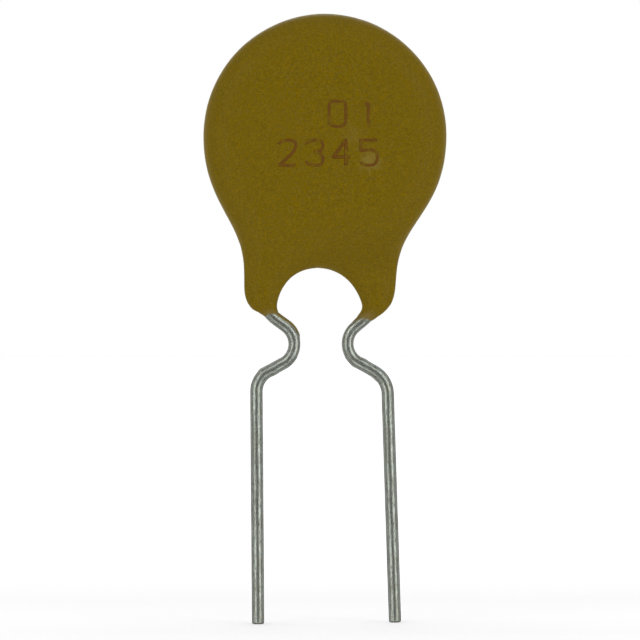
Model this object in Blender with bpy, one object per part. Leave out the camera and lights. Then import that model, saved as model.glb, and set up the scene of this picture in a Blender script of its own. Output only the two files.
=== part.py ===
"""Resettable fuse on two kinked leads, in metres, +Z up.

A disc of conductive polymer lies between two foil electrodes. A tinned lead is soldered to each foil,
and a dipped epoxy coating covers them all, down to two horns that close round the leads. The origin is
on the circuit board's surface, midway between the leads, and the marked face is towards -Y.
"""

from collections import namedtuple
from math import cos, exp, pi, radians, sin, sqrt, tan

import bmesh
import bpy
from mathutils import Matrix, Vector
from mathutils.geometry import interpolate_bezier, intersect_point_line

MM = 0.001

# Chip: its centre is given above the board, and right of the middle between the leads
CHIP_X = 0.11 * MM
CHIP_Z = 9.99 * MM
CHIP_RADIUS = 4.12 * MM
POLYMER_THICKNESS = 0.60 * MM
FOIL_THICKNESS = 0.035 * MM
FIT_GAP = 0.01 * MM

# Leads: both have these, and the kinks below are each lead's own
LEAD_RADIUS = 0.23 * MM
LEAD_PITCH = 5.12 * MM
LEG_LENGTH = 9.0 * MM
RUN_PAST_CENTRE = 1.5 * MM
ENTRY_RADIUS = 1.6 * MM

# Solder joint along the end of each lead
SOLDER_LENGTH = 4.0 * MM
SOLDER_WIDTH = 1.3 * MM
SOLDER_HEIGHT = 0.42 * MM
SOLDER_PAST_LEAD = 0.4 * MM

# Coating over the chip
RIM_WALL = 0.62 * MM
LEAD_COVER = 0.39 * MM
RIDGE_HEIGHT = 0.08 * MM
RIDGE_WIDTH = 1.6 * MM
CROWN = 0.03 * MM
EDGE_ROUND = 1.0 * MM

# Coating between and around the leads: heights are above the bend where a lead turns inwards
WEB_HEIGHT = 1.03 * MM
WEB_THICKNESS = 1.4 * MM
WEB_TURN = 1.5 * MM
SPLIT_ABOVE_NOTCH = 0.9 * MM
NOTCH_X = -0.185 * MM
NOTCH_ROUND = 1.47 * MM
NOTCH_SIDE = 0.05 * MM
NOTCH_FOOT = 0.24 * MM
FLANK_FROM_RIM = 2.74 * MM
FLANK_TO_HORN = 2.06 * MM
HORN_TOP = 1.39 * MM
HORN_LOW = 0.78 * MM
HORN_CORNER = 0.87 * MM
TIP_ANGLE = 46
LIP_WALL = 0.05 * MM

Kink = namedtuple(
    "Kink", "sign face run_x slope apex_x apex_z apex_radius shoulder_z shoulder_radius splay"
)
Horn = namedtuple("Horn", "leave outer_wall lean notch_wall end_drop end_tilt tip_curve")

LEFT_KINK = Kink(
    sign=-1,
    face=-1,
    run_x=2.42 * MM,
    slope=36.0,
    apex_x=0.33 * MM,
    apex_z=1.761 * MM,
    apex_radius=0.86 * MM,
    shoulder_z=0.561 * MM,
    shoulder_radius=0.89 * MM,
    splay=-0.43,
)
RIGHT_KINK = Kink(
    sign=1,
    face=1,
    run_x=2.20 * MM,
    slope=39.75,
    apex_x=0.363 * MM,
    apex_z=1.758 * MM,
    apex_radius=0.84 * MM,
    shoulder_z=0.513 * MM,
    shoulder_radius=1.04 * MM,
    splay=1.83,
)
LEFT_HORN = Horn(
    leave=0,
    outer_wall=0.375 * MM,
    lean=0,
    notch_wall=0.393 * MM,
    end_drop=0.298 * MM,
    end_tilt=18,
    tip_curve=0.18 * MM,
)
RIGHT_HORN = Horn(
    leave=3.2,
    outer_wall=0.467 * MM,
    lean=5,
    notch_wall=0.359 * MM,
    end_drop=0.429 * MM,
    end_tilt=13,
    tip_curve=0.54 * MM,
)

# Facets
CHIP_SIDES = 72
LEAD_SIDES = 16
LEAD_ARC_STEP = 9
SOLDER_SIDES = 24
CURVE_POINTS = 40
DISC_ROWS = 36
HORN_ROWS = 12
HALF_COLUMNS = 10
NOTCH_CLIMB = 0.8

# What follows from the sizes above
STACK_HALF = POLYMER_THICKNESS / 2 + FIT_GAP + FOIL_THICKNESS
LEAD_OFFSET = STACK_HALF + FIT_GAP + LEAD_RADIUS
LEAD_TOP = CHIP_Z + RUN_PAST_CENTRE
COAT_RADIUS = CHIP_RADIUS + RIM_WALL
COAT_HALF = LEAD_OFFSET + LEAD_RADIUS + LEAD_COVER - RIDGE_HEIGHT
NOTCH_TOP = CHIP_Z - CHIP_RADIUS - WEB_HEIGHT
LIP_RADIUS = LEAD_RADIUS + LIP_WALL


def clear_scene():
    for obj in list(bpy.data.objects):
        bpy.data.objects.remove(obj)


def material(name, colour, roughness, metallic=0.0):
    made = bpy.data.materials.new(name)
    made.use_nodes = True
    shader = made.node_tree.nodes["Principled BSDF"]
    shader.inputs["Base Color"].default_value = (*colour, 1)
    shader.inputs["Roughness"].default_value = roughness
    shader.inputs["Metallic"].default_value = metallic
    made.diffuse_color = (*colour, 1)
    return made


def add_object(name, data, finish=None, location=(0, 0, 0)):
    obj = bpy.data.objects.new(name, data)
    bpy.context.scene.collection.objects.link(obj)
    obj.location = location
    if finish:
        data.materials.append(finish)
    return obj


def as_cutter(obj):
    obj.hide_render = True
    obj.display_type = "WIRE"
    return obj


def cut(obj, cutter):
    modifier = obj.modifiers.new("cut_" + cutter.name, "BOOLEAN")
    modifier.operation = "DIFFERENCE"
    modifier.solver = "EXACT"
    modifier.object = cutter


def mesh_of(name, bm):
    bmesh.ops.recalc_face_normals(bm, faces=bm.faces)
    mesh = bpy.data.meshes.new(name)
    bm.to_mesh(mesh)
    bm.free()
    mesh.shade_smooth()
    mesh.set_sharp_from_angle(angle=radians(35))
    return mesh


# Chip: the polymer disc and the foil on each side of it


def disc_mesh(name, radius, thickness):
    """A flat disc that faces along Y, centred on its object's origin."""
    bm = bmesh.new()
    bmesh.ops.create_cone(
        bm,
        cap_ends=True,
        segments=CHIP_SIDES,
        radius1=radius,
        radius2=radius,
        depth=thickness,
        matrix=Matrix.Rotation(pi / 2, 4, "X"),
    )
    return mesh_of(name, bm)


def add_chip(polymer_finish, foil_finish):
    core = disc_mesh("polymer_core", CHIP_RADIUS, POLYMER_THICKNESS)
    foil = disc_mesh("foil", CHIP_RADIUS, FOIL_THICKNESS)
    foil.materials.append(foil_finish)
    foil_y = POLYMER_THICKNESS / 2 + FIT_GAP + FOIL_THICKNESS / 2
    return [
        add_object("polymer_core", core, polymer_finish, (CHIP_X, 0, CHIP_Z)),
        add_object("front_foil", foil, location=(CHIP_X, -foil_y, CHIP_Z)),
        add_object("rear_foil", foil, location=(CHIP_X, foil_y, CHIP_Z)),
    ]


def chip_space():
    space = disc_mesh("chip_space", CHIP_RADIUS + FIT_GAP, 2 * (STACK_HALF + FIT_GAP))
    return as_cutter(add_object("chip_space", space, location=(CHIP_X, 0, CHIP_Z)))


# Leads: wires in a plane of their own, with points given as (x, z)


def entry_z(kink):
    """Height of the corner where the lead's vertical run meets its slanted one."""
    return kink.apex_z + (kink.run_x - kink.apex_x) * tan(radians(kink.slope))


def rounded(corners, radii):
    """The line through the corners, each inner one turned into an arc of its radius."""
    line = [corners[0]]
    for before, corner, after, radius in zip(corners, corners[1:], corners[2:], radii):
        back = (before - corner).normalized()
        ahead = (after - corner).normalized()
        half = back.angle(ahead) / 2
        centre = corner + (back + ahead).normalized() * (radius / sin(half))
        start = (corner + back * (radius / tan(half)) - centre).normalized()
        end = (corner + ahead * (radius / tan(half)) - centre).normalized()
        steps = max(2, round((pi - 2 * half) / radians(LEAD_ARC_STEP)))
        line += [centre + start.slerp(end, i / steps) * radius for i in range(steps + 1)]
    return line + [corners[-1]]


def lead_line(kink):
    """Centre line from the lead's end on the chip down to its tip below the board."""
    drift = tan(radians(kink.splay))
    corners = [
        (kink.run_x, LEAD_TOP),
        (kink.run_x, entry_z(kink)),
        (kink.apex_x, kink.apex_z),
        (LEAD_PITCH / 2 - kink.shoulder_z * drift, kink.shoulder_z),
        (LEAD_PITCH / 2 + LEG_LENGTH * drift, -LEG_LENGTH),
    ]
    corners = [Vector((kink.sign * x, z)) for x, z in corners]
    return rounded(corners, (ENTRY_RADIUS, kink.apex_radius, kink.shoulder_radius))


def wire(name, line, radius):
    """A round wire along the line, as a curve with closed ends."""
    curve = bpy.data.curves.new(name, "CURVE")
    curve.dimensions = "3D"
    curve.bevel_depth = radius
    curve.bevel_resolution = (LEAD_SIDES - 4) // 2
    curve.use_fill_caps = True
    spline = curve.splines.new("POLY")
    spline.points.add(len(line) - 1)
    for point, (x, z) in zip(spline.points, line):
        point.co = (x, 0, z, 1)
    spline.use_smooth = True
    return curve


def add_lead(name, kink, finish):
    curve = wire(name, lead_line(kink), LEAD_RADIUS)
    return add_object(name, curve, finish, (0, kink.face * LEAD_OFFSET, 0))


def lead_space(kink):
    """What a lead takes up in the coating and in its solder, with the clearance round it."""
    name = "left_lead_space" if kink.sign < 0 else "right_lead_space"
    line = lead_line(kink)
    line[0] = line[0] + Vector((0, FIT_GAP))
    helper = add_object(name, wire(name, line, LEAD_RADIUS + FIT_GAP))
    bm = bmesh.new()
    bm.from_mesh(helper.to_mesh())
    bpy.data.objects.remove(helper)
    bmesh.ops.remove_doubles(bm, verts=bm.verts, dist=1e-7)
    space = add_object(name, mesh_of(name, bm), location=(0, kink.face * LEAD_OFFSET, 0))
    return as_cutter(space)


# Solder: a mound over each lead's end, with the lead's groove through it


def mound(name, growth):
    """An ellipsoid along Z, larger all round by the growth, with no corner in the chip's plane."""
    bm = bmesh.new()
    bmesh.ops.create_uvsphere(
        bm,
        u_segments=SOLDER_SIDES,
        v_segments=SOLDER_SIDES // 2,
        radius=1,
        matrix=Matrix.Rotation(pi / SOLDER_SIDES, 4, "Z"),
    )
    size = (
        SOLDER_WIDTH / 2 + growth,
        SOLDER_HEIGHT + growth,
        SOLDER_LENGTH / 2 + growth,
    )
    bmesh.ops.scale(bm, verts=bm.verts, vec=size)
    return bm


def solder_place(kink):
    z = LEAD_TOP + SOLDER_PAST_LEAD - SOLDER_LENGTH / 2
    return (kink.sign * kink.run_x, kink.face * (STACK_HALF + FIT_GAP), z)


def add_solder(name, kink, groove, finish):
    bm = mound(name, 0)
    cut_geometry = bm.verts[:] + bm.edges[:] + bm.faces[:]
    made = bmesh.ops.bisect_plane(
        bm, geom=cut_geometry, plane_co=(0, 0, 0), plane_no=(0, -kink.face, 0), clear_outer=True
    )
    rim = [item for item in made["geom_cut"] if isinstance(item, bmesh.types.BMEdge)]
    bmesh.ops.holes_fill(bm, edges=rim)
    solder = add_object(name, mesh_of(name, bm), finish, solder_place(kink))
    cut(solder, groove)
    return solder


def solder_space(kink):
    name = "left_solder_space" if kink.sign < 0 else "right_solder_space"
    return as_cutter(add_object(name, mesh_of(name, mound(name, FIT_GAP)), location=solder_place(kink)))


# Coating: its outline in the XZ plane


def bezier(start, start_handle, end_handle, end):
    return interpolate_bezier(start, start_handle, end_handle, end, CURVE_POINTS)


def coat_end(kink, horn):
    """Where the coating's end meets the notch side and the outer side of the lead."""
    height = entry_z(kink) - horn.end_drop
    line = lead_line(kink)
    upper, lower = next((a, b) for a, b in zip(line, line[1:]) if b.y <= height)
    middle = upper.lerp(lower, (upper.y - height) / (upper.y - lower.y))
    tilt = radians(horn.end_tilt)
    outwards = Vector((kink.sign * cos(tilt), -sin(tilt)))
    reach = LIP_RADIUS / abs(outwards.cross((lower - upper).normalized()))
    return middle - outwards * reach, middle + outwards * reach


def outer_edge(kink, horn):
    """The side of the outline, from the top of the disc to the end of the horn."""
    centre = Vector((CHIP_X, CHIP_Z))
    turn = radians(90 + horn.leave)
    angles = [turn * i / CURVE_POINTS for i in range(CURVE_POINTS + 1)]
    rim = [centre + COAT_RADIUS * Vector((kink.sign * sin(a), cos(a))) for a in angles]
    off_rim = Vector((kink.sign * cos(turn), -sin(turn)))
    lean = radians(horn.lean)
    down = Vector((-kink.sign * sin(lean), -cos(lean)))
    horn_x = kink.sign * (kink.run_x + LEAD_RADIUS + horn.outer_wall)
    top = Vector((horn_x, entry_z(kink) + HORN_TOP))
    low = top + down * (HORN_TOP - HORN_LOW)
    tip = coat_end(kink, horn)[1]
    angle = radians(TIP_ANGLE)
    into_tip = Vector((-kink.sign * cos(angle), -sin(angle)))
    flank = bezier(rim[-1], rim[-1] + off_rim * FLANK_FROM_RIM, top - down * FLANK_TO_HORN, top)
    corner = bezier(low, low + down * HORN_CORNER, tip - into_tip * horn.tip_curve, tip)
    return rim + flank[1:] + corner


def notch_edge(kink, horn):
    """One side of the notch, from its top to the end of the horn."""
    top = Vector((NOTCH_X, NOTCH_TOP))
    side_x = kink.sign * (kink.run_x - LEAD_RADIUS - horn.notch_wall)
    side = Vector((side_x, entry_z(kink) + NOTCH_SIDE))
    tip = coat_end(kink, horn)[0]
    across = Vector((kink.sign * NOTCH_ROUND, 0))
    arch = bezier(top, top + across, side, side)
    foot = bezier(side, side - Vector((0, NOTCH_FOOT)), tip, tip)
    return arch + foot[1:]


def spread(line, shares):
    """Points along the line at these shares of its length."""
    lengths = [0.0]
    for a, b in zip(line, line[1:]):
        lengths.append(lengths[-1] + (b - a).length)
    points = []
    for share in shares:
        target = share * lengths[-1]
        i = next(i for i in range(1, len(line)) if lengths[i] >= target * (1 - 1e-6))
        step = lengths[i] - lengths[i - 1]
        points.append(line[i - 1].lerp(line[i], min(1, (target - lengths[i - 1]) / step)))
    return points


def distance(point, line):
    nearest = []
    for a, b in zip(line, line[1:]):
        share = intersect_point_line(point, a, b)[1]
        foot = a.lerp(b, min(1, max(0, share)))
        nearest.append((point - foot).length)
    return min(nearest)


# Coating: its two faces


def ease(share):
    """0 to 1 with no slope at either end."""
    share = min(1, max(0, share))
    return share * share * (3 - 2 * share)


def hang(z):
    """How far the coating has left the chip's plane for the leads': 0 on the chip, 1 in the horns."""
    chip_end = CHIP_Z - sqrt(CHIP_RADIUS**2 - min(LEFT_KINK.run_x, RIGHT_KINK.run_x) ** 2)
    return ease((chip_end - z) / (chip_end - NOTCH_TOP + LEAD_RADIUS))


def sideways(x):
    """-1 round the left lead, 1 round the right one, and a smooth turn across the web between them."""
    side = min(1, max(-1, (x - NOTCH_X) / WEB_TURN))
    return side * (1.5 - side * side / 2)


def middle_y(point):
    """The coating's middle surface, which follows each lead away from the chip's plane."""
    return LEAD_OFFSET * RIGHT_KINK.face * sideways(point.x) * hang(point.y)


def half_thickness(point):
    """On the chip the coating's own, in the horns what keeps one face level with the disc's."""
    horn_share = sideways(point.x) ** 2
    thinner = LEAD_OFFSET * horn_share + (COAT_HALF - WEB_THICKNESS / 2) * (1 - horn_share)
    from_chip = (point - Vector((CHIP_X, CHIP_Z))).length / COAT_RADIUS
    return COAT_HALF - CROWN * from_chip**2 - thinner * hang(point.y)


def ridge(point, face):
    """The low ridge over the lead that lies on this face of the chip."""
    kink = LEFT_KINK if LEFT_KINK.face == face else RIGHT_KINK
    across = (point.x - kink.sign * kink.run_x) / (RIDGE_WIDTH / 2)
    ends = ease((LEAD_TOP + RIDGE_WIDTH / 2 - point.y) / RIDGE_WIDTH)
    return RIDGE_HEIGHT * exp(-across * across) * ends * (1 - hang(point.y))


def skin_point(point, face, gap, reach, taper):
    """The place on the skin over a point of the outline's plane.

    The gap is its distance to the edge, the reach is how far in the rounding goes, and the taper thins
    the coating from 1 to 0 towards the lip round the lead.
    """
    share = min(1, gap / reach)
    half = LIP_RADIUS + (half_thickness(point) - LIP_RADIUS) * taper
    bulge = half * sqrt(share * (2 - share)) + ridge(point, face) * share
    return Vector((point.x, middle_y(point) + face * bulge, point.y))


def half_row(inner, outer, horn_share, rise):
    """Points from the middle to the edge, closer together near the edge, and at both ends in a horn.

    The rise is the slope at which the row climbs away from the notch before it levels out.
    """
    row = []
    for j in range(HALF_COLUMNS + 1):
        disc_place = sin(pi / 2 * j / HALF_COLUMNS)
        horn_place = (1 - cos(pi * j / HALF_COLUMNS)) / 2
        place = disc_place + (horn_place - disc_place) * horn_share
        climb = rise * (outer - inner).length * place * (1 - place) ** 2
        row.append(inner.lerp(outer, place) + Vector((0, climb)))
    return row


def coat_mesh():
    split_z = NOTCH_TOP + SPLIT_ABOVE_NOTCH
    disc_steps = [i / DISC_ROWS for i in range(DISC_ROWS + 1)]
    disc_shares = [(sin(pi / 2 * step) + (1 - cos(pi * step)) / 2) / 2 for step in disc_steps]
    horn_shares = [k / HORN_ROWS for k in range(HORN_ROWS + 1)]
    edges, flanks, horns, notches = [], [], [], []
    for kink, horn in ((LEFT_KINK, LEFT_HORN), (RIGHT_KINK, RIGHT_HORN)):
        outline = outer_edge(kink, horn)
        notch = notch_edge(kink, horn)
        split = next(i for i, point in enumerate(outline) if i > CURVE_POINTS and point.y < split_z)
        edges += [outline, notch]
        flanks.append(spread(outline[: split + 1], disc_shares))
        horns.append(spread(outline[split:], horn_shares))
        notches.append(spread(notch, horn_shares))

    bm = bmesh.new()

    def skin_row(row, on_edge, reach, taper):
        """The row's vertices on the front and on the rear, which share those on the edge."""
        front, rear = [], []
        for j, point in enumerate(row):
            if j in on_edge:
                vertex = bm.verts.new((point.x, middle_y(point), point.y))
                front.append(vertex)
                rear.append(vertex)
                continue
            gap = min(distance(point, line) for line in edges)
            front.append(bm.verts.new(skin_point(point, -1, gap, reach, taper)))
            rear.append(bm.verts.new(skin_point(point, 1, gap, reach, taper)))
        return front, rear

    def join(upper, lower):
        for above, below in zip(upper, lower):
            for j in range(len(above) - 1):
                bm.faces.new((above[j], above[j + 1], below[j + 1], below[j]))

    # The disc: rows from edge to edge, which bend down in the middle to reach the top of the notch
    top = bm.verts.new((flanks[0][0].x, 0, flanks[0][0].y))
    drop = (flanks[0][-1].y + flanks[1][-1].y) / 2 - NOTCH_TOP
    split_row = None
    for i, step in enumerate(disc_steps[1:], 1):
        left, right = flanks[0][i], flanks[1][i]
        bend = step**4
        middle_x = CHIP_X + (NOTCH_X - CHIP_X) * bend
        middle = Vector((middle_x, (left.y + right.y) / 2 - drop * bend))
        rise = NOTCH_CLIMB * bend
        points = half_row(middle, left, bend, rise)[:0:-1] + half_row(middle, right, bend, rise)
        on_edge = {0, 2 * HALF_COLUMNS} | ({HALF_COLUMNS} if step == 1 else set())
        row = skin_row(points, on_edge, EDGE_ROUND, 1)
        if split_row:
            join(split_row, row)
        else:
            for side in row:
                for a, b in zip(side, side[1:]):
                    bm.faces.new((top, a, b))
        split_row = row

    # The horns: rows from the notch to the outer edge, and a flat end round each lead
    for number, horn in enumerate((LEFT_HORN, RIGHT_HORN)):
        columns = slice(HALF_COLUMNS, None) if number else slice(HALF_COLUMNS, None, -1)
        above = [side[columns] for side in split_row]
        horn_width = (horn.outer_wall + horn.notch_wall) / 2 + LEAD_RADIUS
        end_width = (horns[number][-1] - notches[number][-1]).length / 2
        for share, inner, outer in zip(horn_shares[1:], notches[number][1:], horns[number][1:]):
            width = (outer - inner).length / 2
            taper = sin(pi / 2 * min(1, max(0, (width - end_width) / (horn_width - end_width))))
            points = half_row(inner, outer, 1, NOTCH_CLIMB * (1 - share) ** 2)
            row = skin_row(points, {0, HALF_COLUMNS}, min(EDGE_ROUND, width), taper)
            join(above, row)
            above = row
        front, rear = above
        bm.faces.new(front + rear[-2:0:-1])
    return mesh_of("coating", bm)


def add_coating(finish, spaces):
    coating = add_object("coating", coat_mesh(), finish)
    for space in spaces:
        cut(coating, space)
    return coating


def build():
    clear_scene()
    coat_finish = material("mustard_epoxy", (0.159, 0.105, 0.006), 0.35)
    tin_finish = material("tinned_copper", (0.42, 0.44, 0.42), 0.35, 1.0)
    foil_finish = material("nickel_foil", (0.50, 0.47, 0.42), 0.4, 1.0)
    solder_finish = material("solder", (0.55, 0.56, 0.56), 0.25, 1.0)
    polymer_finish = material("carbon_filled_polymer", (0.01, 0.01, 0.01), 0.6)

    left_space = lead_space(LEFT_KINK)
    right_space = lead_space(RIGHT_KINK)
    spaces = [chip_space(), left_space, right_space, solder_space(LEFT_KINK), solder_space(RIGHT_KINK)]
    pieces = add_chip(polymer_finish, foil_finish)
    pieces += [
        add_lead("left_lead", LEFT_KINK, tin_finish),
        add_lead("right_lead", RIGHT_KINK, tin_finish),
        add_solder("front_solder", LEFT_KINK, left_space, solder_finish),
        add_solder("rear_solder", RIGHT_KINK, right_space, solder_finish),
        add_coating(coat_finish, spaces),
    ]
    fuse = add_object("resettable_fuse", None)
    for obj in pieces + spaces:
        obj.parent = fuse


build()
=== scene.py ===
from math import atan2, cos, exp, pi, radians, sin, tan

import bmesh
import bpy
from mathutils import Matrix, Vector, noise
from mathutils.bvhtree import BVHTree
from mathutils.kdtree import KDTree


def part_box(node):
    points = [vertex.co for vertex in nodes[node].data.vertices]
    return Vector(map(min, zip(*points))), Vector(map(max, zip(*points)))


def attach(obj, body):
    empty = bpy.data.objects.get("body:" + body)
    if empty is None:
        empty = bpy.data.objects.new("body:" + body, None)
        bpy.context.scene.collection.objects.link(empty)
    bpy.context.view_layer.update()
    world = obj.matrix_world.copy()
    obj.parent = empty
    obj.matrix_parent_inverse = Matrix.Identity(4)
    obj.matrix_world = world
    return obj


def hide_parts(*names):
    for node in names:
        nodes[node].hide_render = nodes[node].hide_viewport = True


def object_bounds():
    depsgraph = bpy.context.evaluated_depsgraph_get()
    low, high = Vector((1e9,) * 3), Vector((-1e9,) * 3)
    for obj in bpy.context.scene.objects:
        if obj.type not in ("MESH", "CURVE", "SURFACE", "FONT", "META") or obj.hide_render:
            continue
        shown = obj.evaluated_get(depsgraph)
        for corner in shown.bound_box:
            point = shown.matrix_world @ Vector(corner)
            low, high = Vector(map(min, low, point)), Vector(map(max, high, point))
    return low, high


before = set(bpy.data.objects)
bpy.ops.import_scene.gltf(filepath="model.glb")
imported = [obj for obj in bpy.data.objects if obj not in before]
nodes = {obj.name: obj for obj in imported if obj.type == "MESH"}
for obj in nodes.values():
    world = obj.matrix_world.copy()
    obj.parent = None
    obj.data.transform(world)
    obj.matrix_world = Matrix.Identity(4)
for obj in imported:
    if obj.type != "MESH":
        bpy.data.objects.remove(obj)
cad_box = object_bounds()

# Polymer core
# The disc that does the switching: polyethylene filled with carbon black, punched from a pressed sheet.
# It swells and stops conducting when it gets hot. The foils and the coating hide it.

MM = 0.001


def linear(hex_colour):
    """A colour given as sRGB hex, as the linear RGBA that shaders take."""
    shares = [int(hex_colour[i : i + 2], 16) / 255 for i in (1, 3, 5)]
    return (*[c / 12.92 if c < 0.04045 else ((c + 0.055) / 1.055) ** 2.4 for c in shares], 1)


def add_node(tree, kind, inputs=None, **settings):
    """Adds a node. An input's value is a number, a colour, a socket, or a node for its first output."""
    made = tree.nodes.new("ShaderNode" + kind)
    for name, value in settings.items():
        setattr(made, name, value)
    for name, value in (inputs or {}).items():
        if isinstance(value, bpy.types.Node):
            value = value.outputs[0]
        if isinstance(value, bpy.types.NodeSocket):
            tree.links.new(value, made.inputs[name])
        else:
            made.inputs[name].default_value = value
    return made


def new_material(name):
    """A new material, its node tree and its Principled BSDF."""
    made = bpy.data.materials.new(name)
    made.use_nodes = True
    return made, made.node_tree, made.node_tree.nodes["Principled BSDF"]


def finish_with(obj, material):
    obj.data.materials.clear()
    obj.data.materials.append(material)


# Pressed and punched: dull black, with the faint mottle of the carbon in the plastic.
CARBON_MOTTLE = 0.15 * MM
carbon_polymer, tree, shader = new_material("carbon_filled_polyethylene")
place = add_node(tree, "TexCoord").outputs["Object"]
mottle = add_node(tree, "TexNoise", {"Vector": place, "Scale": 1 / CARBON_MOTTLE, "Detail": 3})
shades = add_node(
    tree, "MixRGB", {"Fac": mottle, "Color1": linear("#141416"), "Color2": linear("#232326")}
)
relief = add_node(tree, "Bump", {"Height": mottle.outputs[0], "Distance": 0.004 * MM})
shader.inputs["Roughness"].default_value = 0.6
tree.links.new(shades.outputs[0], shader.inputs["Base Color"])
tree.links.new(relief.outputs[0], shader.inputs["Normal"])
finish_with(nodes["polymer_core"], carbon_polymer)


# Foil electrodes
# Nickel foil pressed onto both faces of the polymer. Its inner side is grown into nodules for grip,
# and they show through as a fine grain.

# Electrodeposited nickel: a warm grey, half-matt metal. The grain is drawn coarser than the real one.
NICKEL_GRAIN = 0.05 * MM
nickel_foil, tree, shader = new_material("electrodeposited_nickel_foil")
place = add_node(tree, "TexCoord").outputs["Object"]
grain = add_node(tree, "TexNoise", {"Vector": place, "Scale": 1 / NICKEL_GRAIN, "Detail": 4})
shades = add_node(
    tree, "MixRGB", {"Fac": grain, "Color1": linear("#A9A294"), "Color2": linear("#C4BEB1")}
)
relief = add_node(tree, "Bump", {"Height": grain.outputs[0], "Distance": 0.003 * MM})
shader.inputs["Metallic"].default_value = 1
shader.inputs["Roughness"].default_value = 0.42
tree.links.new(shades.outputs[0], shader.inputs["Base Color"])
tree.links.new(relief.outputs[0], shader.inputs["Normal"])
finish_with(nodes["front_foil"], nickel_foil)
finish_with(nodes["rear_foil"], nickel_foil)


# Leads
# Half-millimetre copper wire, drawn, hot-tinned and sheared to length. Each is bent inwards and out
# again below the coating, so that the fuse stops at that height above the board.

WIRE_RADIUS = 0.23 * MM
LEAD_PITCH = 5.12 * MM
LEG_LENGTH = 9.0 * MM
ENTRY_BEND = 1.6 * MM
WIRE_SIDES = 40
WIRE_STEP = 0.12 * MM
ARC_STEP = radians(5)
TIP_ROUND = 0.06 * MM
WIRE_RIPPLE = 0.0035 * MM
RIPPLE_PACE = 1.3
# The resin ends at these heights on the wire's front, and runs further down on its upper side
LEFT_RESIN_END = 3.04 * MM
RIGHT_RESIN_END = 2.84 * MM
LEFT_RUN_DOWN = 0.9 * MM
RIGHT_RUN_DOWN = 0.15 * MM
RUN_SIDE = 0.6
FILM_DEPTH = 0.05 * MM
# In millimetres, as the attribute wetting is
FILM_RISE = 0.3
FILM_EDGE = 0.12


def wire_route(sign, run_x, slope, apex_x, apex_z, apex_bend, shoulder_z, shoulder_bend, splay, top_z):
    """Corners of a lead's centre line as (x, z), from its tip up, and the radius of each bend."""
    drift = tan(radians(splay))
    corners = [
        (LEAD_PITCH / 2 + LEG_LENGTH * drift, -LEG_LENGTH),
        (LEAD_PITCH / 2 - shoulder_z * drift, shoulder_z),
        (apex_x, apex_z),
        (run_x, apex_z + (run_x - apex_x) * tan(radians(slope))),
        (run_x, top_z),
    ]
    return [Vector((sign * x, z)) for x, z in corners], (shoulder_bend, apex_bend, ENTRY_BEND)


def wire_places(corners, bends, plane_y):
    """Matrices along the centre line, each with Z along the wire, and the length to each of them."""
    line = [corners[0]]
    for before, corner, after, bend in zip(corners, corners[1:], corners[2:], bends):
        back = (before - corner).normalized()
        ahead = (after - corner).normalized()
        half = back.angle(ahead) / 2
        centre = corner + (back + ahead).normalized() * (bend / sin(half))
        start = (corner + back * (bend / tan(half)) - centre).normalized()
        end = (corner + ahead * (bend / tan(half)) - centre).normalized()
        run = centre + start * bend - line[-1]
        cuts = round(run.length / WIRE_STEP)
        line += [line[-1] + run * (i / cuts) for i in range(1, cuts)]
        steps = round((pi - 2 * half) / ARC_STEP)
        line += [centre + start.slerp(end, i / steps) * bend for i in range(steps + 1)]
    line.append(corners[-1])
    places = []
    lengths = [0.0]
    for i, point in enumerate(line):
        heading = line[min(i + 1, len(line) - 1)] - line[max(i - 1, 0)]
        turn = Matrix.Rotation(atan2(heading.x, heading.y), 4, "Y")
        places.append(Matrix.Translation((point.x, plane_y, point.y)) @ turn)
        if i:
            lengths.append(lengths[-1] + (point - line[i - 1]).length)
    return places, lengths


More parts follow.
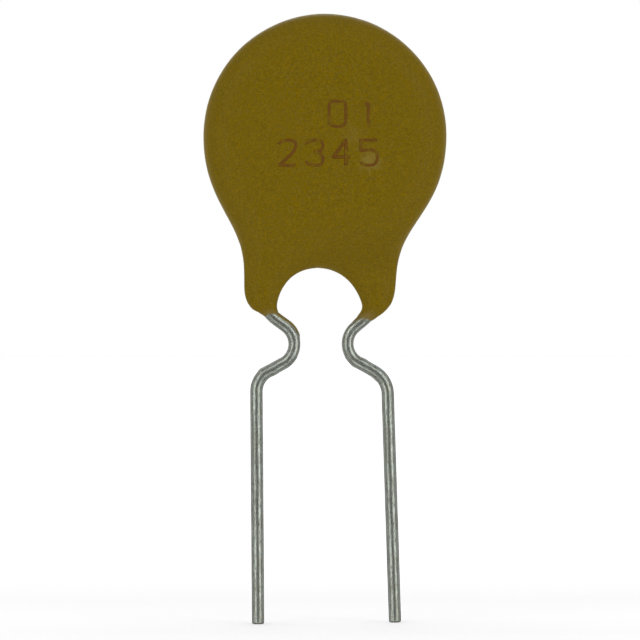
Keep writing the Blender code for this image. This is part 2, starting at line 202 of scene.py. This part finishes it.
def make_lead(name, route, tool_marks, resin_end, run_down):
    """A wire along the route, and a search tree of the points on its centre line.

    The attribute wire_space holds its own lengthways coordinates, and wetting holds the height in
    millimetres over the end of the resin, which runs down further along the wire's upper side.
    """
    low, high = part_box(name)
    places, lengths = wire_places(*route, (low.y + high.y) / 2)
    bm = bmesh.new()
    bmesh.ops.create_circle(bm, segments=WIRE_SIDES, radius=WIRE_RADIUS, matrix=places[0])
    rim = bm.edges[:]
    ring = rim
    for before, after in zip(places, places[1:]):
        drawn = bmesh.ops.extrude_edge_only(bm, edges=ring)
        verts = [item for item in drawn["geom"] if isinstance(item, bmesh.types.BMVert)]
        ring = [item for item in drawn["geom"] if isinstance(item, bmesh.types.BMEdge)]
        ring = [edge for edge in ring if all(vert in verts for vert in edge.verts)]
        bmesh.ops.transform(bm, verts=verts, matrix=after @ before.inverted())
    bmesh.ops.holes_fill(bm, edges=bm.edges)
    bmesh.ops.bevel(
        bm, geom=rim, offset=TIP_ROUND, segments=3, affect="EDGES", profile=0.5, material=-1
    )
    bmesh.ops.recalc_face_normals(bm, faces=bm.faces)

    # Where each vertex is round the wire and along it, then the marks that the bending tool left
    outer_sign = 1 if places[0].translation.x > 0 else -1
    nearest = KDTree(len(places))
    for i, matrix in enumerate(places):
        nearest.insert(matrix.translation, i)
    nearest.balance()
    wire_space = bm.verts.layers.float_vector.new("wire_space")
    wetting = bm.verts.layers.float.new("wetting")
    for vert in bm.verts:
        i = nearest.find(vert.co)[1]
        local = places[i].inverted() @ vert.co
        vert[wire_space] = (local.x / WIRE_RADIUS, local.y / WIRE_RADIUS, (lengths[i] + local.z) / MM)
        upper_side = max(0, -outer_sign * local.x / WIRE_RADIUS - RUN_SIDE) / (1 - RUN_SIDE)
        vert[wetting] = (vert.co.z - resin_end + run_down * upper_side) / MM
        outwards = places[i].to_3x3() @ Vector((local.x, local.y, 0)).normalized()
        push = WIRE_RIPPLE * noise.noise(Vector(vert[wire_space]) * RIPPLE_PACE)
        push += FILM_DEPTH * upper_side * min(1, max(0, vert[wetting] / FILM_RISE))
        for x, z, width, height in tool_marks:
            gap = Vector((vert.co.x - x, vert.co.z - z)).length / width
            push += height * exp(-gap * gap)
        vert.co += outwards * push
    mesh = bpy.data.meshes.new(name + "_wire")
    bm.to_mesh(mesh)
    bm.free()
    mesh.shade_smooth()
    wire = bpy.data.objects.new(name + "_wire", mesh)
    bpy.context.scene.collection.objects.link(wire)
    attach(wire, "root")
    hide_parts(name)
    return wire, nearest


left_route = wire_route(
    sign=-1,
    run_x=2.42 * MM,
    slope=36.0,
    apex_x=0.33 * MM,
    apex_z=1.761 * MM,
    apex_bend=0.86 * MM,
    shoulder_z=0.561 * MM,
    shoulder_bend=0.89 * MM,
    splay=-0.43,
    top_z=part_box("left_lead")[1].z,
)
right_route = wire_route(
    sign=1,
    run_x=2.20 * MM,
    slope=39.75,
    apex_x=0.363 * MM,
    apex_z=1.758 * MM,
    apex_bend=0.84 * MM,
    shoulder_z=0.513 * MM,
    shoulder_bend=1.04 * MM,
    splay=1.83,
    top_z=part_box("right_lead")[1].z,
)
# Each mark is an x, a z, a width and how far it stands out
left_marks = [
    (-0.90 * MM, 2.23 * MM, 0.12 * MM, 0.032 * MM),
    (-2.41 * MM, 0.88 * MM, 0.12 * MM, 0.028 * MM),
    (-1.82 * MM, 0.71 * MM, 0.14 * MM, 0.018 * MM),
]
right_marks = [
    (1.65 * MM, 1.23 * MM, 0.12 * MM, 0.020 * MM),
    (2.09 * MM, 0.50 * MM, 0.12 * MM, 0.022 * MM),
    (1.21 * MM, 1.01 * MM, 0.14 * MM, 0.016 * MM),
]
left_wire, left_line = make_lead("left_lead", left_route, left_marks, LEFT_RESIN_END, LEFT_RUN_DOWN)
right_wire, right_line = make_lead(
    "right_lead", right_route, right_marks, RIGHT_RESIN_END, RIGHT_RUN_DOWN
)

# Hot-tinned wire: a slightly green-grey metal, streaked lengthways by the die, with duller patches,
# bare brown copper where it was sheared, and a film of resin where it leaves the coating.
tinned_copper, tree, shader = new_material("hot_tinned_copper_wire")
along = add_node(tree, "Attribute", attribute_name="wire_space").outputs["Vector"]
wetting = add_node(tree, "Attribute", attribute_name="wetting").outputs["Fac"]
stretched = add_node(tree, "Mapping", {"Vector": along, "Scale": (4, 4, 1.6)})
streaks = add_node(tree, "TexNoise", {"Vector": stretched, "Scale": 1, "Detail": 4})
patches = add_node(tree, "TexNoise", {"Vector": along, "Scale": 1.4, "Detail": 3})
specks = add_node(tree, "TexNoise", {"Vector": along, "Scale": 8, "Detail": 2})
tin = add_node(
    tree, "MixRGB", {"Fac": streaks, "Color1": linear("#9CA297"), "Color2": linear("#D3DAD1")}
)
dull = add_node(tree, "MapRange", {"Value": patches, "From Min": 0.5, "From Max": 0.62})
tin = add_node(tree, "MixRGB", {"Fac": dull, "Color1": tin, "Color2": linear("#AEB1A4")})
dark = add_node(
    tree, "MapRange", {"Value": specks, "From Min": 0.48, "From Max": 0.68, "To Max": 0.9}
)
tin = add_node(tree, "MixRGB", {"Fac": dark, "Color1": tin, "Color2": linear("#74786A")})
sheared = add_node(tree, "SeparateXYZ", {"Vector": along}).outputs["Z"]
ragged = add_node(tree, "Math", {0: specks, 1: 0.13}, operation="MULTIPLY")
from_cut = add_node(tree, "Math", {0: sheared, 1: ragged}, operation="SUBTRACT")
bare = add_node(
    tree, "MapRange", {"Value": from_cut, "From Min": 0.0, "From Max": -0.08, "To Max": 0.85}
)
tin = add_node(tree, "MixRGB", {"Fac": bare, "Color1": tin, "Color2": linear("#7A5638")})
uneven = add_node(tree, "TexNoise", {"Vector": along, "Scale": 1.6, "Detail": 2})
fringe = add_node(tree, "Math", {0: uneven, 1: FILM_EDGE}, operation="MULTIPLY")
wetted = add_node(tree, "Math", {0: wetting, 1: fringe}, operation="ADD")
film = add_node(tree, "MapRange", {"Value": wetted, "From Min": 0.0, "From Max": FILM_EDGE})
tin = add_node(tree, "MixRGB", {"Fac": film, "Color1": tin, "Color2": linear("#76641C")})
metal = add_node(tree, "MapRange", {"Value": film, "To Min": 1.0, "To Max": 0.0})
rough = add_node(tree, "MapRange", {"Value": patches, "To Min": 0.28, "To Max": 0.44})
dents = add_node(tree, "Math", {0: patches, 1: 1.4, 2: streaks}, operation="MULTIPLY_ADD")
relief = add_node(tree, "Bump", {"Height": dents, "Distance": 0.008 * MM})
tree.links.new(tin.outputs[0], shader.inputs["Base Color"])
tree.links.new(metal.outputs[0], shader.inputs["Metallic"])
tree.links.new(rough.outputs[0], shader.inputs["Roughness"])
tree.links.new(relief.outputs[0], shader.inputs["Normal"])
finish_with(left_wire, tinned_copper)
finish_with(right_wire, tinned_copper)


# Solder joints
# A mound of solder over the end of each lead, reflowed onto the foil before the part is dipped.

# Reflowed tin: bright, with the slight waves of a surface that set as it cooled.
SOLDER_WAVE = 0.4 * MM
solder, tree, shader = new_material("reflowed_tin_solder")
place = add_node(tree, "TexCoord").outputs["Object"]
waves = add_node(tree, "TexNoise", {"Vector": place, "Scale": 1 / SOLDER_WAVE, "Detail": 2})
shades = add_node(
    tree, "MixRGB", {"Fac": waves, "Color1": linear("#B9BBBB"), "Color2": linear("#D6D8D8")}
)
relief = add_node(tree, "Bump", {"Height": waves.outputs[0], "Distance": 0.02 * MM})
shader.inputs["Metallic"].default_value = 1
shader.inputs["Roughness"].default_value = 0.22
tree.links.new(shades.outputs[0], shader.inputs["Base Color"])
tree.links.new(relief.outputs[0], shader.inputs["Normal"])
finish_with(nodes["front_solder"], solder)
finish_with(nodes["rear_solder"], solder)


# Coating
# Mustard epoxy that the soldered chip is dipped into, leads up, and that is cured in an oven. It is
# drawn down into two horns round the leads, and wets each of them a little further than it covers it.

# The walls of the inner space lie closer than this to the pieces that it holds
INNER_GAP = 0.014 * MM
# In millimetres, as the mesh that it evens is
SKIN_VOXEL = 0.06
# The thickness is evened out so many times from each height up, most on the disc
EVENING_PASSES = [(0, 6), (3.6 * MM, 14), (4.6 * MM, 30)]
# The steps lie above this height, on what faces the front or the rear by more than this
STEP_BOTTOM = 3.4 * MM
STEP_FACING = 0.5
STEP_PASSES = 120
HORN_END_PASSES = 4
# The evening takes this much off the rim
RIM_REGAIN = 0.03 * MM
SAG_DEPTH = 0.012 * MM
SAG_LENGTH = 2.2 * MM
PEEL_DEPTH = 0.0025 * MM
PEEL_LENGTH = 0.35 * MM
# The resin lies at least this deep on a lead, a third of the way up from its end. The skin that closes
# it off inside the wire stays flat over the core.
LEAST_COVER = 0.045 * MM
COVER_PACE = 3
WIRE_CORE = 0.8 * WIRE_RADIUS
INNER_THINNING = 0.12 * MM
OUTER_THINNING = 0.42 * MM
FLAT_THINNING = 0.6 * MM
RESIN_SAG = 0.2 * MM
# Thinner resin than this lets the tin show through
THIN_RESIN = 0.16 * MM


def outer_skin():
    """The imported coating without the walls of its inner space, in millimetres and closed at the leads."""
    inner = bmesh.new()
    for name, obj in nodes.items():
        if name != "coating":
            inner.from_mesh(obj.data)
    pieces_inside = BVHTree.FromBMesh(inner)
    inner.free()
    bm = bmesh.new()
    bm.from_mesh(nodes["coating"].data)
    bmesh.ops.remove_doubles(bm, verts=bm.verts, dist=0.0001 * MM)
    inner_walls = [
        face for face in bm.faces if pieces_inside.find_nearest(face.calc_center_median())[3] < INNER_GAP
    ]
    bmesh.ops.delete(bm, geom=inner_walls, context="FACES")
    bmesh.ops.edgeloop_fill(bm, edges=[edge for edge in bm.edges if edge.is_boundary])
    bmesh.ops.join_triangles(
        bm, faces=bm.faces, angle_face_threshold=radians(40), angle_shape_threshold=radians(60)
    )
    bmesh.ops.scale(bm, verts=bm.verts, vec=(1 / MM,) * 3)
    mesh = bpy.data.meshes.new("skin")
    bm.to_mesh(mesh)
    bm.free()
    return mesh


skin = bpy.data.objects.new("skin", outer_skin())
bpy.context.scene.collection.objects.link(skin)
rounding = skin.modifiers.new("rounding", "SUBSURF")
rounding.levels = rounding.render_levels = 2
evening = skin.modifiers.new("evening", "REMESH")
evening.mode = "VOXEL"
evening.voxel_size = SKIN_VOXEL
evened = skin.evaluated_get(bpy.context.evaluated_depsgraph_get())
bm = bmesh.new()
bm.from_mesh(evened.to_mesh())
bpy.data.objects.remove(skin)
bmesh.ops.scale(bm, verts=bm.verts, vec=(MM,) * 3)

# Even out the thickness, then the steps where each face falls back to the horn of the other side
for bottom, passes in EVENING_PASSES:
    band = [vert for vert in bm.verts if vert.co.z > bottom]
    for _ in range(passes):
        bmesh.ops.smooth_vert(bm, verts=band, factor=0.5, use_axis_y=True)
bm.normal_update()
flats = [vert for vert in bm.verts if vert.co.z > STEP_BOTTOM and abs(vert.normal.y) > STEP_FACING]
for _ in range(STEP_PASSES):
    bmesh.ops.smooth_vert(bm, verts=flats, factor=0.5, use_axis_y=True)
bm.normal_update()
thinness = bm.verts.layers.float.new("thinness")
for vert in bm.verts:
    outwards = Vector((vert.normal.x, 0, vert.normal.z))
    sag = SAG_DEPTH * noise.noise(vert.co / SAG_LENGTH)
    peel = PEEL_DEPTH * noise.noise(vert.co / PEEL_LENGTH)
    vert.co += outwards * RIM_REGAIN + vert.normal * (sag + peel)

    # Round a lead the resin thins out to nothing, over a longer stretch and lower on the outer side,
    # and over the longest one on the front and the rear. Below its end the skin lies inside the wire.
    if vert.co.x < 0:
        lead_line, resin_end, outer_sign = left_line, LEFT_RESIN_END, -1
    else:
        lead_line, resin_end, outer_sign = right_line, RIGHT_RESIN_END, 1
    axis, _, gap = lead_line.find(vert.co)
    away = (vert.co - axis) / gap
    outer_side = outer_sign * away.x
    resin_end -= RESIN_SAG * max(0, outer_side)
    thinning = INNER_THINNING + (OUTER_THINNING - INNER_THINNING) * (1 + outer_side) / 2
    thinning += (FLAT_THINNING - thinning) * away.y * away.y
    rise = min(1, max(-1, (vert.co.z - resin_end) / thinning))
    full = max(0, rise) ** 2 * (3 - 2 * max(0, rise))
    close = min(1, max(0, 1 - (gap - WIRE_RADIUS) / THIN_RESIN))
    vert[thinness] = close * (1 - full)
    cover = WIRE_RADIUS + LEAST_COVER * min(1, COVER_PACE * rise)
    if gap > cover:
        vert.co = axis + away * (cover + (gap - cover) * full)
    elif gap > WIRE_CORE:
        vert.co = axis + away * cover
horn_ends = [vert for vert in bm.verts if vert.co.z < STEP_BOTTOM]
for _ in range(HORN_END_PASSES):
    bmesh.ops.smooth_vert(
        bm, verts=horn_ends, factor=0.5, use_axis_x=True, use_axis_y=True, use_axis_z=True
    )
mesh = bpy.data.meshes.new("epoxy_coat")
bm.to_mesh(mesh)
bm.free()
mesh.shade_smooth()
coat = bpy.data.objects.new("epoxy_coat", mesh)
bpy.context.scene.collection.objects.link(coat)
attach(coat, "root")
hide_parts("coating")

# Dipped and cured epoxy: an even, half-matt mustard, with fine filler in it and a faint orange peel.
# The filler catches grazing light, which pales the rim a little. Its grain is drawn coarser than the
# real one, or it wouldn't show.
FILLER_GRAIN = 0.06 * MM
CLOUD = 1.6 * MM
# Each scuff is its place, its size and how much it pales the epoxy
SCUFFS = [
    ((1.84 * MM, -1.13 * MM, 9.0 * MM), 0.5 * MM, 0.4),
    ((1.16 * MM, -1.13 * MM, 10.05 * MM), 0.5 * MM, 0.15),
]
SCUFF_RAGGED = 2
SCUFF_FADE = 0.8
epoxy, tree, shader = new_material("dipped_epoxy")
place = add_node(tree, "TexCoord").outputs["Object"]
filler = add_node(tree, "TexNoise", {"Vector": place, "Scale": 1 / FILLER_GRAIN, "Detail": 2})
pigment = add_node(tree, "TexNoise", {"Vector": place, "Scale": 1 / (1.3 * FILLER_GRAIN), "Detail": 2})
clouds = add_node(tree, "TexNoise", {"Vector": place, "Scale": 1 / CLOUD, "Detail": 3})
blend = add_node(tree, "MapRange", {"Value": pigment, "From Min": 0.4, "From Max": 0.54})
mustard = add_node(
    tree, "MixRGB", {"Fac": blend, "Color1": linear("#7A6617"), "Color2": linear("#7E6601")}
)
shade = add_node(tree, "MapRange", {"Value": filler, "To Min": 0.44, "To Max": 1.52})
mustard = add_node(
    tree, "MixRGB", {"Fac": 1, "Color1": mustard, "Color2": shade}, blend_type="MULTIPLY"
)
thin = add_node(tree, "Attribute", attribute_name="thinness").outputs["Fac"]
sheer = add_node(tree, "MapRange", {"Value": thin, "To Max": 0.75})
mustard = add_node(tree, "MixRGB", {"Fac": sheer, "Color1": mustard, "Color2": linear("#8C7A50")})
for centre, size, paling in SCUFFS:
    away = add_node(tree, "VectorMath", {0: place, 1: centre}, operation="DISTANCE").outputs["Value"]
    blotches = add_node(tree, "TexNoise", {"Vector": place, "Scale": 2 / size, "Detail": 4})
    reach = add_node(tree, "Math", {0: blotches, 1: SCUFF_RAGGED * size}, operation="MULTIPLY")
    inside = add_node(tree, "Math", {0: away, 1: reach}, operation="SUBTRACT")
    fade = {"Value": inside, "From Min": 0.0, "From Max": -SCUFF_FADE * size, "To Max": paling}
    scuffed = add_node(tree, "MapRange", fade)
    mustard = add_node(
        tree, "MixRGB", {"Fac": scuffed, "Color1": mustard, "Color2": linear("#968444")}
    )
rough = add_node(tree, "MapRange", {"Value": clouds, "To Min": 0.4, "To Max": 0.5})
relief = add_node(tree, "Bump", {"Height": filler, "Distance": 0.002 * MM})
shader.inputs["Specular IOR Level"].default_value = 0.07
shader.inputs["Sheen Weight"].default_value = 0.35
shader.inputs["Sheen Roughness"].default_value = 0.25
shader.inputs["Sheen Tint"].default_value = linear("#FFF8B4")
tree.links.new(mustard.outputs[0], shader.inputs["Base Color"])
tree.links.new(rough.outputs[0], shader.inputs["Roughness"])
tree.links.new(relief.outputs[0], shader.inputs["Normal"])
finish_with(coat, epoxy)


# Marking
# Two rows of plain numbers, stamped on the front face in thin ink. The ink lies a few micrometres
# proud, and it is worn through in places.

INK_PROUD = 0.005 * MM
INK_FLATNESS = 0.06
AHEAD_OF_FACE = 5 * MM
# Centre lines on a grid 4 wide and 6 high; the ink rounds their corners
GRID_WIDTH = 4
GRID_HEIGHT = 6
DIGIT_LINES = {
    "0": [(2, 0), (4, 0), (4, 3), (4, 6), (2, 6), (0, 6), (0, 3), (0, 0), (2, 0)],
    "1": [(1, 5), (2, 6), (2, 6), (2, 0)],
    "2": [(0, 5), (0.5, 6), (4, 6), (4, 3.5), (0, 0), (0, 0), (4, 0)],
    "3": [(0, 5), (0.5, 6), (4, 6), (4, 3.5), (1.2, 3.2), (4, 2.9), (4, 0), (0.5, 0), (0, 1)],
    "4": [(3, 0), (3, 6), (3, 6), (0, 2), (0, 2), (4, 2)],
    "5": [(4, 6), (0, 6), (0, 6), (0, 3.5), (0, 3.5), (4, 3.8), (4, 0), (0.5, 0), (0, 0.8)],
}
DIGIT_HEIGHT = 0.98 * MM
STROKE = 0.13 * MM
# Each row's digits, then in millimetres the first one's x, their spacing and the row's z
ROWS = [("01", 0.59, 1.2, 10.8), ("2345", -1.35, 1.053, 9.3)]

coat_below = bmesh.new()
coat_below.from_mesh(coat.data)
face_below = BVHTree.FromBMesh(coat_below)
coat_below.free()
marks = [
    (digit, (start + spacing * i) * MM, height * MM)
    for digits, start, spacing, height in ROWS
    for i, digit in enumerate(digits)
]
stamp = bmesh.new()
for digit, x, z in marks:
    stroke = bpy.data.curves.new("digit", "CURVE")
    stroke.dimensions = "3D"
    stroke.bevel_depth = STROKE / 2
    stroke.bevel_resolution = 1
    stroke.use_fill_caps = True
    path = stroke.splines.new("NURBS")
    path.points.add(len(DIGIT_LINES[digit]) - 1)
    for point, (across, up) in zip(path.points, DIGIT_LINES[digit]):
        right = (across - GRID_WIDTH / 2) * DIGIT_HEIGHT / GRID_HEIGHT
        rise = (up - GRID_HEIGHT / 2) * DIGIT_HEIGHT / GRID_HEIGHT
        point.co = (x + right, 0, z + rise, 1)
    path.order_u = 3
    path.use_endpoint_u = True
    path.resolution_u = 5
    digit_piece = bpy.data.objects.new("digit", stroke)
    bpy.context.scene.collection.objects.link(digit_piece)
    bpy.context.view_layer.update()
    stamp.from_mesh(digit_piece.to_mesh())
    bpy.data.objects.remove(digit_piece)
for vert in stamp.verts:
    start = Vector((vert.co.x, -AHEAD_OF_FACE, vert.co.z))
    surface = face_below.ray_cast(start, Vector((0, 1, 0)))[0]
    vert.co.y = surface.y - INK_PROUD + vert.co.y * INK_FLATNESS
mesh = bpy.data.meshes.new("stamped_numbers")
stamp.to_mesh(mesh)
stamp.free()
ink_piece = bpy.data.objects.new("stamped_numbers", mesh)
bpy.context.scene.collection.objects.link(ink_piece)
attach(ink_piece, "root")

# Thin stamped ink: a matt red-brown that lets the mustard through where it is worn.
INK_WEAR = 0.2 * MM
ink, tree, shader = new_material("stamped_ink")
place = add_node(tree, "TexCoord").outputs["Object"]
wear = add_node(tree, "TexNoise", {"Vector": place, "Scale": 1 / INK_WEAR, "Detail": 3})
worn = add_node(tree, "MapRange", {"Value": wear, "From Min": 0.49, "From Max": 0.72})
tone = add_node(
    tree, "MixRGB", {"Fac": worn, "Color1": linear("#724B14"), "Color2": linear("#7D660A")}
)
shader.inputs["Roughness"].default_value = 0.5
shader.inputs["Specular IOR Level"].default_value = 0.1
tree.links.new(tone.outputs[0], shader.inputs["Base Color"])
finish_with(ink_piece, ink)


# Studio
# A plain white floor that the lead tips stand on, in a room of soft white light. The room is dim
# behind the camera and light behind the fuse, which shows the round of the wires.

scene = bpy.context.scene
scene.view_settings.view_transform = "Standard"

FLOOR_RADIUS = 1.5
bm = bmesh.new()
bmesh.ops.create_circle(bm, cap_ends=True, segments=64, radius=FLOOR_RADIUS)
floor_mesh = bpy.data.meshes.new("floor")
bm.to_mesh(floor_mesh)
bm.free()
floor = bpy.data.objects.new("floor", floor_mesh)
floor.location.z = cad_box[0].z
# Only the shadow on it is drawn, so that its white runs into the white behind it
floor.is_shadow_catcher = True
# The light from under the table reaches the fuse through the floor
floor.visible_shadow = False
floor.visible_glossy = False
scene.collection.objects.link(floor)

world = bpy.data.worlds.new("studio")
world.use_nodes = True
tree = world.node_tree
tree.nodes.clear()
backdrop = add_node(tree, "Background", {"Color": (1, 1, 1, 1), "Strength": 1.0})
heading = add_node(tree, "TexCoord").outputs["Generated"]
depth = add_node(tree, "SeparateXYZ", {"Vector": heading}).outputs["Y"]
dark_end = add_node(
    tree,
    "MapRange",
    {"Value": depth, "From Min": -0.97, "From Max": -0.8, "To Min": 0.13, "To Max": 0.27},
)
light_end = add_node(tree, "MapRange", {"Value": depth, "From Min": -0.2, "From Max": 0.7, "To Max": 0.3})
room = add_node(tree, "Math", {0: dark_end, 1: light_end}, operation="ADD")
room_light = add_node(tree, "Background", {"Color": (1, 1, 1, 1), "Strength": room})
seen = add_node(tree, "LightPath").outputs["Is Camera Ray"]
both = add_node(tree, "MixShader", {0: seen, 1: room_light, 2: backdrop})
tree.links.new(both.outputs[0], add_node(tree, "OutputWorld").inputs["Surface"])
scene.world = world


def soft_light(name, azimuth, elevation, width, height, reach, radiance):
    """A rectangular light that faces the fuse from reach metres away.

    Azimuth 0 is the marked side and 90 is +X. The width and height are in metres.
    """
    lamp = bpy.data.lights.new(name, "AREA")
    lamp.shape = "RECTANGLE"
    lamp.size = width
    lamp.size_y = height
    lamp.energy = radiance * pi * width * height
    turn, rise = radians(azimuth), radians(elevation)
    away = Vector((sin(turn) * cos(rise), -cos(turn) * cos(rise), sin(rise)))
    light = bpy.data.objects.new(name, lamp)
    light.location = away * reach
    light.rotation_euler = (-away).to_track_quat("-Z", "Y").to_euler()
    light.visible_camera = False
    scene.collection.objects.link(light)
    return light


# The tall strips draw the bright lines on the wires, the wide lights keep the coating evenly lit
soft_light("left_strip", -44, 8, 0.2, 0.6, 0.5, 1.6)
soft_light("right_strip", 47, 8, 0.2, 0.6, 0.5, 1.95)
soft_light("overhead", 0, 45, 0.6, 0.14, 0.5, 1.25)
soft_light("under_table", 0, -42, 0.6, 0.14, 0.5, 1.45)
soft_light("rear_panel", 180, 10, 0.3, 0.6, 0.5, 1.1)
# From a little behind, these pick out the coating's rim. The wires don't reflect them.
soft_light("rear_left", -115, 0, 0.3, 0.6, 0.5, 0.9).visible_glossy = False
soft_light("rear_right", 115, 0, 0.3, 0.6, 0.5, 0.8).visible_glossy = False
soft_light("rear_top", 180, 80, 0.6, 0.3, 0.5, 0.6).visible_glossy = False

# What the picture spans at the fuse, and the point in its middle
PICTURE_WIDTH = 24.96 * MM
PICTURE_CENTRE = Vector((-0.087 * MM, 0, 2.81 * MM))
camera_data = bpy.data.cameras.new("camera")
camera_data.lens = 300
camera_data.clip_start = 0.01
camera = bpy.data.objects.new("camera", camera_data)
distance = PICTURE_WIDTH * camera_data.lens / camera_data.sensor_width
camera.location = PICTURE_CENTRE - Vector((0, distance, 0))
camera.rotation_euler = (radians(90), 0, 0)
scene.collection.objects.link(camera)
scene.camera = camera
